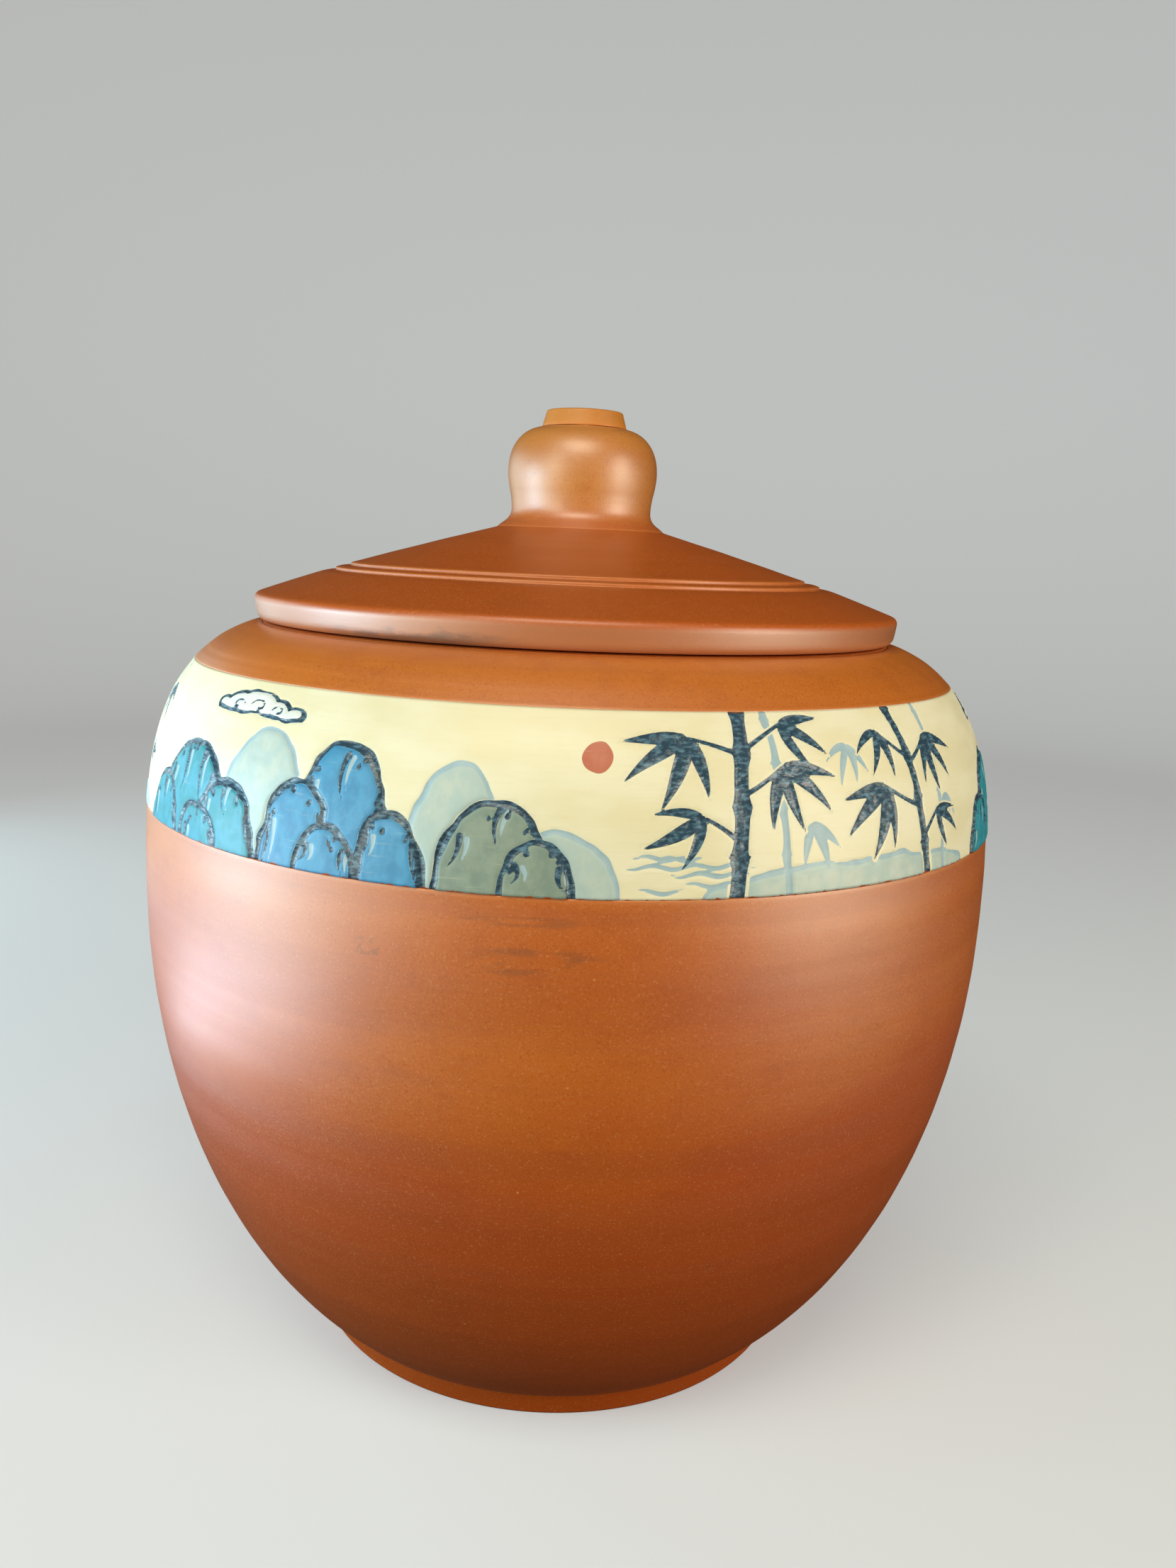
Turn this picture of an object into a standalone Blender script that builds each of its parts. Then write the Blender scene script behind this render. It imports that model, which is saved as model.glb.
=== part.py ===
"""Tea storage jar: an unglazed clay jar with a slip band round its shoulder and a lift-off lid.

Everything is in metres, +Z up. The origin is the centre of the circle that the foot ring stands on.
Azimuths are in degrees from the front of the jar, which faces -Y, and grow towards +X.
"""

import math

import bmesh
import bpy
from mathutils import Vector

# Sizes shared by several pieces
SEGMENTS = 60
KNOB_SEGMENTS = 44
CLEARANCE = 0.0003

# Outer side of the jar: it leaves the foot at an angle, is upright at the belly and leans over the shoulder
BODY_FOOT_RADIUS = 0.0935
FOOT_FLARE_ANGLE = 48.2
FOOT_FLARE_LENGTH = 0.0435
BELLY_RADIUS = 0.1500
BELLY_HEIGHT = 0.1680
BELLY_LENGTH_DOWN = 0.0718
BELLY_LENGTH_UP = 0.0291
SHOULDER_HEIGHT = 0.2547
SHOULDER_ANGLE = 18.5
WALL = 0.0070

# Foot ring, stepped in under the side of the jar
FOOT_HEIGHT = 0.0099
FOOT_STEP = 0.0018
FOOT_TAPER = 0.0027
FOOT_WIDTH = 0.0100
FOOT_EDGE = 0.0015

# Floor
FLOOR_THICKNESS = 0.0090
FLOOR_LAND = 0.0085

# Band of pale slip
BAND_DROP = 0.0125
BAND_HEIGHT = 0.0469
BAND_THICKNESS = 0.0008

# Mouth
MOUTH_RADIUS = 0.1035
MOUTH_RING_WIDTH = 0.0070
MOUTH_RING_HEIGHT = 0.0045
MOUTH_RING_EDGE = 0.0006
MOUTH_WALL_HEIGHT = 0.0050
SHOULDER_LAND = 0.0036

# Lid
RIM_SETBACK = 0.0008
RIM_TAPER = 0.0006
RIM_HEIGHT = 0.0071
RIM_EDGE_BOTTOM = 0.0030
RIM_EDGE_TOP = 0.0024
LID_RISE = 0.0352
LID_SLOPE_TOP = 15.5
LID_SLOPE_RIM = 21.0
LID_THICKNESS = 0.0078
LID_LAND = 0.0075
LID_FACETS = (4, 2, 3)
GROOVE_INSETS = (0.0327, 0.0274)
GROOVE_DEPTH = 0.0010
FLANGE_HEIGHT = 0.0125
FLANGE_THICKNESS = 0.0050
FLANGE_CLEARANCE = 0.0015

# Knob and its collar
KNOB_FLARE_RADIUS = 0.0300
KNOB_FLARE_LAP = 0.0015
KNOB_FLARE_EDGE = 0.0005
KNOB_FLARE_LENGTH = 0.0025
KNOB_NECK_RADIUS = 0.0249
KNOB_NECK_RISE = 0.0058
KNOB_SWELL = 0.0017
KNOB_SWELL_RISE = 0.0188
KNOB_TOP_RISE = 0.0348
KNOB_TOP_LENGTH = 0.0068
KNOB_TOP_SLOPE = 8.0
KNOB_WALL = 0.0070
COLLAR_RADIUS = 0.0150
COLLAR_TAPER = 0.0013
COLLAR_WIDTH = 0.0055
COLLAR_HEIGHT = 0.0055
COLLAR_EDGE = 0.0010

# Coloured slip fills on the band: rounded hills and a cloud, the same group three times round the jar
FILL_THICKNESS = 0.0005
FILL_GROUPS = 3
FILL_START_ANGLE = -62.0
FILL_COLUMNS = 9
FILL_ROW_HEIGHT = 0.008
FILL_SPAN_SHARE = 0.995
HILL_FOOT_SHARE = 0.02
HILL_EXPONENT = 2.3
CLOUD_SAG_SHARE = 0.6

# Colours are linear red, green and blue
CLAY = (0.46, 0.13, 0.032)
CLAY_DARK = (0.36, 0.09, 0.022)
CREAM_SLIP = (0.80, 0.77, 0.56)
TURQUOISE_SLIP = (0.10, 0.52, 0.62)
BLUE_SLIP = (0.10, 0.42, 0.78)
GREY_GREEN_SLIP = (0.30, 0.42, 0.38)
WHITE_SLIP = (0.82, 0.83, 0.80)


# Hills of one group: name, centre and half width as azimuths, top as a share of the band's height, colour
HILLS = (
    ("turquoise_hill", 13.0, 13.0, 0.60, TURQUOISE_SLIP),
    ("blue_hill", 37.0, 10.2, 0.74, BLUE_SLIP),
    ("grey_green_hill", 55.3, 7.2, 0.50, GREY_GREEN_SLIP),
)

# Cloud of one group: centre and half width as azimuths, middle and half height as shares of the band's height
CLOUD = (21.5, 8.5, 0.85, 0.075)


def clear_scene():
    for existing in list(bpy.data.objects):
        bpy.data.objects.remove(existing, do_unlink=True)


def clay_material(name, colour, roughness):
    material = bpy.data.materials.new(name)
    material.use_nodes = True
    shader = material.node_tree.nodes["Principled BSDF"]
    shader.inputs["Base Color"].default_value = (*colour, 1.0)
    shader.inputs["Roughness"].default_value = roughness
    shader.inputs["Metallic"].default_value = 0.0
    material.diffuse_color = (*colour, 1.0)
    return material


def add_piece(name, mesh_maker, colour, roughness, parent, origin=(0.0, 0.0, 0.0)):
    """Makes a named object from a filled bmesh whose points are in world metres."""
    made = bmesh.new()
    mesh_maker(made)
    bmesh.ops.recalc_face_normals(made, faces=made.faces)
    bmesh.ops.translate(made, vec=-Vector(origin), verts=made.verts)
    mesh = bpy.data.meshes.new(name)
    made.to_mesh(mesh)
    made.free()
    mesh.shade_smooth()
    mesh.set_sharp_from_angle(angle=math.radians(35.0))
    mesh.materials.append(clay_material(name + "_clay", colour, roughness))
    piece = bpy.data.objects.new(name, mesh)
    bpy.context.scene.collection.objects.link(piece)
    piece.parent = parent
    piece.location = Vector(origin) - (parent.location if parent else Vector())
    return piece


def add_body_empty(name, location):
    empty = bpy.data.objects.new(name, None)
    empty.location = location
    bpy.context.scene.collection.objects.link(empty)
    return empty


def bezier(start, start_pull, end_pull, end, steps):
    """Points of a cubic curve in (radius, height), both ends included."""
    points = []
    for step in range(steps + 1):
        t = step / steps
        weights = ((1 - t) ** 3, 3 * t * (1 - t) ** 2, 3 * t * t * (1 - t), t ** 3)
        handles = (start, start_pull, end_pull, end)
        points.append(tuple(sum(w * h[axis] for w, h in zip(weights, handles)) for axis in (0, 1)))
    return points


def arc(centre, radius, start_angle, end_angle, steps):
    """Points of an arc in (radius, height), both ends included. Angles are in degrees from outwards."""
    points = []
    for step in range(steps + 1):
        angle = math.radians(start_angle + (end_angle - start_angle) * step / steps)
        points.append((centre[0] + radius * math.cos(angle), centre[1] + radius * math.sin(angle)))
    return points


def polar(start, angle, length):
    """The point at a length from start, along an angle in degrees from outwards."""
    turn = math.radians(angle)
    return (start[0] + length * math.cos(turn), start[1] + length * math.sin(turn))


def turn(profile, segments):
    """Returns a maker that turns a closed (radius, height) outline round the Z axis."""

    def maker(made):
        corners = [made.verts.new((0.0, -radius, height)) for radius, height in profile]
        edges = [made.edges.new((a, b)) for a, b in zip(corners, corners[1:])]
        if profile[0][0] > 0.0 or profile[-1][0] > 0.0:
            edges.append(made.edges.new((corners[-1], corners[0])))
        bmesh.ops.spin(
            made, geom=corners + edges, cent=(0.0, 0.0, 0.0), axis=(0.0, 0.0, 1.0),
            angle=math.tau, steps=segments, use_merge=True,
        )
        bmesh.ops.remove_doubles(made, verts=made.verts, dist=0.000001)

    return maker


def shoulder_radius():
    """Radius of the jar's top edge, just outside the ledge of the mouth ring."""
    return MOUTH_RADIUS + MOUTH_RING_WIDTH + CLEARANCE + SHOULDER_LAND


def band_high():
    """Height of the band's upper edge."""
    return SHOULDER_HEIGHT - BAND_DROP


def band_low():
    """Height of the band's lower edge."""
    return band_high() - BAND_HEIGHT


def lower_side(steps):
    """Outer side of the jar from the foot up to the belly."""
    start = (BODY_FOOT_RADIUS, FOOT_HEIGHT + CLEARANCE)
    belly = (BELLY_RADIUS, BELLY_HEIGHT)
    start_handle = polar(start, 90.0 - FOOT_FLARE_ANGLE, FOOT_FLARE_LENGTH)
    belly_handle = (BELLY_RADIUS, BELLY_HEIGHT - BELLY_LENGTH_DOWN)
    return bezier(start, start_handle, belly_handle, belly, steps)


def upper_side(steps):
    """Outer side of the jar from the belly up to the edge of the mouth."""
    belly = (BELLY_RADIUS, BELLY_HEIGHT)
    belly_handle = (BELLY_RADIUS, BELLY_HEIGHT + BELLY_LENGTH_UP)
    shoulder = (shoulder_radius(), SHOULDER_HEIGHT)
    overhang = BELLY_RADIUS - shoulder_radius()
    shoulder_handle = (BELLY_RADIUS, SHOULDER_HEIGHT - overhang * math.tan(math.radians(SHOULDER_ANGLE)))
    return bezier(belly, belly_handle, shoulder_handle, shoulder, steps)


def inset_side(points, inset):
    """Moves a run of outline points inwards by an inset, each along its own normal."""
    moved = []
    last = len(points) - 1
    for index, point in enumerate(points):
        before = points[max(index - 1, 0)]
        after = points[min(index + 1, last)]
        along = Vector((after[0] - before[0], after[1] - before[1])).normalized()
        moved.append((point[0] - inset * along.y, point[1] + inset * along.x))
    return moved


def radius_at(points, height):
    """Radius of a rising run of outline points at a height."""
    for below, above in zip(points, points[1:]):
        if above[1] >= height:
            break
    return below[0] + (above[0] - below[0]) * (height - below[1]) / (above[1] - below[1])


FINE_SIDE = upper_side(400)
FINE_INSIDE = inset_side(lower_side(400), WALL)


def side_at(height, inset=0.0):
    """The point of the jar's upper side at a height, moved inwards along the side's normal."""
    radius = radius_at(FINE_SIDE, height)
    reach = 0.0005
    lean = (radius_at(FINE_SIDE, height - reach) - radius_at(FINE_SIDE, height + reach)) / (2 * reach)
    inwards = Vector((-1.0, -lean)).normalized() * inset
    return (radius + inwards.x, height + inwards.y)


def spread(low, high, count):
    return [low + (high - low) * step / (count - 1) for step in range(count)]


def mouth_seat_height():
    """Height of the ledge in the jar that the mouth ring is luted to."""
    return SHOULDER_HEIGHT + CLEARANCE - MOUTH_RING_HEIGHT


def rim_bottom_height():
    """Height of the lid's flat underside, which lies on the mouth ring."""
    return mouth_seat_height() + MOUTH_RING_HEIGHT + 2 * CLEARANCE


def body_profile():
    floor_edge = floor_radius() + CLEARANCE
    floor_top = FOOT_HEIGHT + CLEARANCE + FLOOR_THICKNESS
    seat_inset = BAND_THICKNESS + CLEARANCE
    seat_low = band_low() - CLEARANCE
    seat_high = band_high() + CLEARANCE
    ring_hole = MOUTH_RADIUS + MOUTH_RING_WIDTH + CLEARANCE
    outer_low = lower_side(11)
    outer_middle = [side_at(z) for z in spread(BELLY_HEIGHT, seat_low, 3)[1:]]
    seat = [side_at(z, seat_inset) for z in spread(seat_low, seat_high, 6)]
    outer_high = [side_at(z) for z in spread(seat_high, SHOULDER_HEIGHT, 4)]
    mouth = [
        (ring_hole, SHOULDER_HEIGHT),
        (ring_hole, mouth_seat_height()),
        (MOUTH_RADIUS, mouth_seat_height()),
        (MOUTH_RADIUS, mouth_seat_height() - MOUTH_WALL_HEIGHT),
    ]
    inner_high = [p for p in inset_side(upper_side(7), WALL) if p[0] > MOUTH_RADIUS + 2 * WALL]
    inner_low = [(radius_at(FINE_INSIDE, z), z) for z in spread(floor_top, BELLY_HEIGHT, 9)[:-1]]
    floor = [(floor_edge, floor_top), (floor_edge, outer_low[0][1])]
    return outer_low + outer_middle + seat + outer_high + mouth + inner_high[::-1] + inner_low[::-1] + floor


def floor_radius():
    return BODY_FOOT_RADIUS - FLOOR_LAND


def floor_profile():
    low = FOOT_HEIGHT + CLEARANCE
    high = low + FLOOR_THICKNESS
    return [(0.0, high), (floor_radius(), high), (floor_radius(), low), (0.0, low)]


def foot_profile():
    top = BODY_FOOT_RADIUS - FOOT_STEP
    bottom = top - FOOT_TAPER
    inside = bottom - FOOT_WIDTH
    return [
        (inside, FOOT_HEIGHT),
        (inside, FOOT_EDGE),
        (inside + FOOT_EDGE, 0.0),
        *arc((bottom - FOOT_EDGE, FOOT_EDGE), FOOT_EDGE, -90.0, 0.0, 3),
        (top, FOOT_HEIGHT),
    ]


def mouth_ring_profile():
    low = mouth_seat_height() + CLEARANCE
    high = low + MOUTH_RING_HEIGHT
    inside = MOUTH_RADIUS
    outside = MOUTH_RADIUS + MOUTH_RING_WIDTH
    edge = MOUTH_RING_EDGE
    return [
        (inside, low),
        (outside, low),
        (outside, high - edge),
        (outside - edge, high),
        (inside + edge, high),
        (inside, high - edge),
    ]


def band_profile():
    heights = spread(band_low(), band_high(), 7)
    outer = [side_at(z) for z in heights]
    inner = [side_at(z, BAND_THICKNESS) for z in heights]
    return outer + inner[::-1]


def lid_top_height():
    """Height of the flat on top of the lid that the knob is luted to."""
    return rim_bottom_height() + LID_RISE


def rim_radius():
    """Radius of the lid at the top corner of its rim."""
    return shoulder_radius() - RIM_SETBACK


def knob_seat_radius():
    return KNOB_FLARE_RADIUS - KNOB_FLARE_LAP


def lid_top(steps):
    """Upper side of the lid from the knob's seat out to the start of the rim's rounded edge."""
    seat = (knob_seat_radius(), lid_top_height())
    edge_centre = (rim_radius() - RIM_EDGE_TOP, rim_bottom_height() + RIM_HEIGHT)
    rim = polar(edge_centre, 90.0 - LID_SLOPE_RIM, RIM_EDGE_TOP)
    reach = (rim[0] - seat[0]) / 3
    seat_handle = polar(seat, -LID_SLOPE_TOP, reach)
    rim_handle = polar(rim, 180.0 - LID_SLOPE_RIM, reach)
    return bezier(seat, seat_handle, rim_handle, rim, steps)


def lid_top_at(radius):
    """Height of the lid's upper side at a radius, without the grooves."""
    for near, far in zip(FINE_LID, FINE_LID[1:]):
        if far[0] >= radius:
            break
    return near[1] + (far[1] - near[1]) * (radius - near[0]) / (far[0] - near[0])


def groove_end(radius):
    """Radius at which a groove's level floor runs out at the sloping top."""
    floor = lid_top_at(radius) - GROOVE_DEPTH
    return next(r for r, height in FINE_LID if r > radius and height <= floor)


def lid_plate_profile():
    bottom = rim_bottom_height()
    grooves = [rim_radius() - inset for inset in GROOVE_INSETS]
    starts = [knob_seat_radius()] + [groove_end(radius) for radius in grooves]
    ends = grooves + [FINE_LID[-1][0]]
    top = [(0.0, lid_top_height())]
    for index, (start, end, facets) in enumerate(zip(starts, ends, LID_FACETS)):
        top += [(radius, lid_top_at(radius)) for radius in spread(start, end, facets + 1)]
        if index < len(grooves):
            top.append((end, lid_top_at(end) - GROOVE_DEPTH))
    edge_top = arc((rim_radius() - RIM_EDGE_TOP, bottom + RIM_HEIGHT), RIM_EDGE_TOP, 45.0, 0.0, 2)
    edge_centre = (rim_radius() - RIM_TAPER - RIM_EDGE_BOTTOM, bottom + RIM_EDGE_BOTTOM)
    edge_bottom = arc(edge_centre, RIM_EDGE_BOTTOM, 0.0, -90.0, 3)
    hollow = flange_radius() - FLANGE_THICKNESS - LID_LAND
    under = [(hollow + LID_THICKNESS / 3, bottom)]
    for radius in spread(hollow, knob_seat_radius(), 4):
        under.append((radius, lid_top_at(radius) - LID_THICKNESS))
    under.append((0.0, under[-1][1]))
    return top + edge_top + edge_bottom + under


def flange_radius():
    """Outer radius of the ring that drops into the mouth."""
    return MOUTH_RADIUS - FLANGE_CLEARANCE


def flange_profile():
    outside = flange_radius()
    inside = outside - FLANGE_THICKNESS
    high = rim_bottom_height() - CLEARANCE
    low = high - FLANGE_HEIGHT
    edge = MOUTH_RING_EDGE
    return [(inside, low), (outside - edge, low), (outside, low + edge), (outside, high), (inside, high)]


def knob_profile():
    seat = lid_top_height() + CLEARANCE
    flare_low = (KNOB_FLARE_RADIUS, lid_top_at(KNOB_FLARE_RADIUS) + CLEARANCE)
    flare = (KNOB_FLARE_RADIUS, flare_low[1] + KNOB_FLARE_EDGE)
    neck = (KNOB_NECK_RADIUS, seat + KNOB_NECK_RISE)
    widest = (KNOB_NECK_RADIUS + KNOB_SWELL, seat + KNOB_SWELL_RISE)
    top = (COLLAR_RADIUS, seat + KNOB_TOP_RISE - CLEARANCE)
    drop = (neck[1] - flare[1]) * 0.55
    rise = (widest[1] - neck[1]) * 0.4
    crown = (top[1] - widest[1]) * 0.6
    flare_handle = polar(flare, 180.0 - LID_SLOPE_TOP, KNOB_FLARE_LENGTH)
    top_handle = polar(top, -KNOB_TOP_SLOPE, KNOB_TOP_LENGTH)
    outer = bezier(flare, flare_handle, (neck[0], neck[1] - drop), neck, 4)
    outer += bezier(neck, (neck[0], neck[1] + rise), (widest[0], widest[1] - rise), widest, 3)[1:]
    outer += bezier(widest, (widest[0], widest[1] + crown), top_handle, top, 5)[1:]
    hollow = KNOB_NECK_RADIUS - KNOB_WALL
    ceiling = top[1] - KNOB_WALL
    bevel = KNOB_WALL / 2
    inner = [(hollow, seat), (hollow, ceiling - bevel), (hollow - bevel, ceiling), (0.0, ceiling)]
    return [(0.0, top[1])] + outer[::-1] + [flare_low, (knob_seat_radius(), seat)] + inner


def collar_profile():
    low = lid_top_height() + CLEARANCE + KNOB_TOP_RISE
    high = low + COLLAR_HEIGHT
    inside = COLLAR_RADIUS - COLLAR_WIDTH
    edge = COLLAR_EDGE
    return [
        (inside, low),
        (COLLAR_RADIUS, low),
        *arc((COLLAR_RADIUS - COLLAR_TAPER - edge, high - edge), edge, 0.0, 90.0, 3),
        (inside + edge, high),
        (inside, high - edge),
    ]


FINE_LID = lid_top(800)


def band_point(azimuth, share, lift):
    """A point over the band: azimuth in degrees, share of the band's height, lift off its face."""
    radius, height = side_at(band_low() + share * BAND_HEIGHT, -lift)
    turned = math.radians(azimuth)
    return (radius * math.sin(turned), -radius * math.cos(turned), height)


def close_edge(made, low_edge, high_edge):
    """Adds the faces between two runs of as many points."""
    for index in range(len(low_edge) - 1):
        made.faces.new((low_edge[index], low_edge[index + 1], high_edge[index + 1], high_edge[index]))


def fill(columns):
    """Returns a maker of one closed skin over the band. Each column is (azimuth, low share, high share)."""

    def maker(made):
        tallest = max(high - low for _, low, high in columns) * BAND_HEIGHT
        rows = 1 + int(tallest / FILL_ROW_HEIGHT)
        under, over = [
            [
                [made.verts.new(band_point(azimuth, share, lift)) for share in spread(low, high, rows + 1)]
                for azimuth, low, high in columns
            ]
            for lift in (CLEARANCE, CLEARANCE + FILL_THICKNESS)
        ]
        for grid in (under, over):
            for left, right in zip(grid, grid[1:]):
                for row in range(rows):
                    made.faces.new((left[row], right[row], right[row + 1], left[row + 1]))
        for row in (0, rows):
            low_edge = [column[row] for column in under]
            high_edge = [column[row] for column in over]
            close_edge(made, low_edge, high_edge)
        for index in (0, -1):
            close_edge(made, under[index], over[index])

    return maker


def column_places():
    """Places of a fill's columns across it, from -1 to 1, closer together where the outline is steep."""
    return [-FILL_SPAN_SHARE * math.cos(math.pi * step / FILL_COLUMNS) for step in range(FILL_COLUMNS + 1)]


def hill_columns(start, centre, half_width, top):
    columns = []
    for across in column_places():
        arch = (1.0 - abs(across) ** HILL_EXPONENT) ** (1.0 / HILL_EXPONENT)
        high = HILL_FOOT_SHARE + (top - HILL_FOOT_SHARE) * arch
        columns.append((start + centre + half_width * across, HILL_FOOT_SHARE, high))
    return columns


def cloud_columns(start, centre, half_width, middle, half_height):
    columns = []
    for across in column_places():
        bulge = half_height * math.sqrt(1.0 - across * across)
        low = middle - CLOUD_SAG_SHARE * bulge
        columns.append((start + centre + half_width * across, low, middle + bulge))
    return columns


def add_fills(parent):
    for group in range(FILL_GROUPS):
        start = FILL_START_ANGLE + 360.0 * group / FILL_GROUPS
        for name, centre, half_width, top, colour in HILLS:
            columns = hill_columns(start, centre, half_width, top)
            add_piece(f"{name}_{group + 1}", fill(columns), colour, 0.5, parent)
        add_piece(f"white_cloud_{group + 1}", fill(cloud_columns(start, *CLOUD)), WHITE_SLIP, 0.5, parent)


def build():
    clear_scene()
    jar = add_body_empty("jar", Vector((0.0, 0.0, 0.0)))
    lid = add_body_empty("lid", Vector((0.0, 0.0, rim_bottom_height())))
    add_piece("jar_body", turn(body_profile(), SEGMENTS), CLAY, 0.5, jar)
    add_piece("base_disc", turn(floor_profile(), SEGMENTS), CLAY_DARK, 0.6, jar)
    add_piece("foot_ring", turn(foot_profile(), SEGMENTS), CLAY_DARK, 0.6, jar)
    add_piece("mouth_ring", turn(mouth_ring_profile(), SEGMENTS), CLAY_DARK, 0.6, jar)
    add_piece("cream_band", turn(band_profile(), SEGMENTS), CREAM_SLIP, 0.55, jar)
    add_fills(jar)
    seat = lid.location
    add_piece("lid_plate", turn(lid_plate_profile(), SEGMENTS), CLAY, 0.5, lid, seat)
    add_piece("lid_flange", turn(flange_profile(), SEGMENTS), CLAY_DARK, 0.6, lid, seat)
    add_piece("knob", turn(knob_profile(), KNOB_SEGMENTS), CLAY, 0.5, lid, seat)
    add_piece("knob_collar", turn(collar_profile(), KNOB_SEGMENTS), CLAY, 0.5, lid, seat)


build()
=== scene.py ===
"""Looks of the tea storage jar: turned clay, a carved and painted slip band and a plain pale studio.

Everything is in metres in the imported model's own frame, +Z up, apart from the drawing on the band,
which is laid out flat in millimetres. Azimuths are in degrees from the front of the jar, which faces
-Y, and grow towards +X.
"""

import math

import bpy
import numpy as np
from mathutils import Matrix, Vector


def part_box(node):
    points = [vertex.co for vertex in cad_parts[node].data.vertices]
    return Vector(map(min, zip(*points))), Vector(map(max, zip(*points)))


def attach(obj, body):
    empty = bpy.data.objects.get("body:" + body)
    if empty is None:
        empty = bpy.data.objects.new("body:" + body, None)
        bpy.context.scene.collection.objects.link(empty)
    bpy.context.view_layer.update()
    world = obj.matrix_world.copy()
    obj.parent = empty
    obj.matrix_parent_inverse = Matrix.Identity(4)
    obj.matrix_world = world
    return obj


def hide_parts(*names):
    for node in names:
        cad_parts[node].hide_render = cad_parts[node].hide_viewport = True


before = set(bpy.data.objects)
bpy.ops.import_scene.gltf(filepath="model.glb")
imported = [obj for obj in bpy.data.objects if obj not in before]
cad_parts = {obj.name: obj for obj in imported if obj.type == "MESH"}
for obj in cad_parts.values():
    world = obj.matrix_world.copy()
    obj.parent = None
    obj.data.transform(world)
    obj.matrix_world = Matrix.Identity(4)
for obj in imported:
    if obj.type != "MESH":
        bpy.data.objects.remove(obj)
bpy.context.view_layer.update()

MM = 0.001
NEAR = 0.000002
RADIUS, HEIGHT = 0, 1

# Turned pieces: segments round the axis, steps along the outline, and how round its corners are
SEGMENTS = 240
KNOB_SEGMENTS = 180
FINE_ROW = 1.25 * MM
COARSE_ROW = 4.0 * MM
CORNER_TURN = math.radians(35.0)
CORNER_ROUND = 0.35 * MM
FOOT_ROUND = 0.8 * MM
CORNER_STEPS = 5
UNSEEN_LEAN = -0.3

# Marks of the potter's tool: wave length along the outline, height of the wave, sway round the jar
TURNING_WAVES = ((33.0 * MM, 0.040 * MM, 0.5), (17.0 * MM, 0.022 * MM, 1.4), (7.3 * MM, 0.007 * MM, 2.6))
TURNING_DEPTH = sum(wave for _, wave, _ in TURNING_WAVES)
TURNING_FADE = 3.0 * MM

# The wall turns from red to gold between two heights, as painted shade low down and painted light
# high up, and the knob from the lid's colour to its own between two heights over the top of the lid's
# plate; the knob's gold is partly its own clay and partly painted light
SHADE_TO_LIGHT_HEIGHTS = (0.09, 0.24)
KNOB_FADE = (-1.3 * MM, 10.7 * MM)
COAT_IOR = 1.8
# Width of the lighter edges, which are partly wear and partly painted highlight
WORN_LIT_EDGE_WIDTH = 0.4 * MM
RIM_HEIGHT = 7.1 * MM
RIM_BLUR = 0.6 * MM
RIM_RUBBED = 0.10
# Dark band along the bottom of the lid's rim: how high it reaches, and the azimuth where it is darkest
RIM_DARK_HEIGHT = 4.5 * MM
RIM_DARK_AZIMUTH = -25.0

# Line scratched round part of the shoulder, above the band
SCRIBED_DISTANCE = 4.6 * MM
SCRIBED_DEPTH = 0.16 * MM
SCRIBED_HALF_WIDTH = 0.45 * MM
SCRIBED_MIDDLE = -45.0
SCRIBED_REACH = 42.0

# Smears under the band: azimuth, depth below the band, sizes, sizes of their grain, and strength
SMEARS = (
    (-4.5, 6.735 * MM, (0.0190, 0.040, 0.0022), (0.0120, 0.0120, 0.0014), 0.30),
    (-2.6, 17.735 * MM, (0.0210, 0.040, 0.0050), (0.0120, 0.0120, 0.0026), 0.36),
    (-20.5, 18.035 * MM, (0.0045, 0.008, 0.0036), (0.0022, 0.0022, 0.0015), 0.50),
)

# Knob's flare, let down on to the lid so that the two run into each other
FLARE_DROP = 0.9 * MM

# Grid of the band, and the drawing's heights above the slip's own face, in millimetres
BAND_COLUMNS = 1350
BAND_ROWS = 70
BAND_BACK = 0.9
EDGE_DIP = 0.06
EDGE_DIP_WIDTH = 0.5
RELIEFS = {"far": 0.22, "turquoise": 0.45, "blue": 0.45, "grey_green": 0.45, "cloud": 0.35}
PAINT_UNEVEN = 0.05
INK_DEPTH = 0.42
PALE_DEPTH = 0.25
CHISEL_MARKS = 0.16
RELIEF_SHOULDER = (-0.3, 0.9)
GROOVE_WALL = (-0.2, 0.55)
FARTHEST = 9.0

# The drawing's hills, with a seed for each outline, in the order in which they are drawn. Crests are
# (aside, half width, height, lean) in shares of their hill, front ones first. Far hills are (hill in
# front, aside in its half widths, half width, height share, lean).
GROUPS = (1, 2, 3)
PLAIN_MARGIN = 4.0
HILL_EXPONENT = 2.1
HILL_SEEDS = {"grey_green": 30, "turquoise": 29, "blue": 24}
CRESTS = {
    "turquoise": (
        (0.16, 0.30, 0.36, 0.0),
        (0.56, 0.44, 0.68, -0.05),
        (-0.64, 0.36, 0.56, 0.10),
        (-0.08, 0.60, 1.0, 0.08),
    ),
    "blue": (
        (-0.12, 0.34, 0.34, 0.0),
        (-0.56, 0.44, 0.66, 0.12),
        (0.64, 0.36, 0.52, -0.05),
        (0.04, 0.62, 1.0, -0.06),
    ),
    "grey_green": ((0.50, 0.50, 0.60, 0.0), (-0.16, 0.80, 1.0, 0.10)),
}
FAR_HILLS = (
    ("blue", -1.12, 17.0, 0.72, 0.05),
    ("grey_green", -0.75, 13.0, 0.66, 0.10),
    ("grey_green", 0.85, 15.0, 0.34, -0.10),
)
FOLD_SPACING = 4.6
DOT_SPACING = 2.4

# Slip left bare round what is in front of a hill, and in front of what is far away
HILL_MARGIN = 0.5
FAR_MARGIN = 0.9

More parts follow.
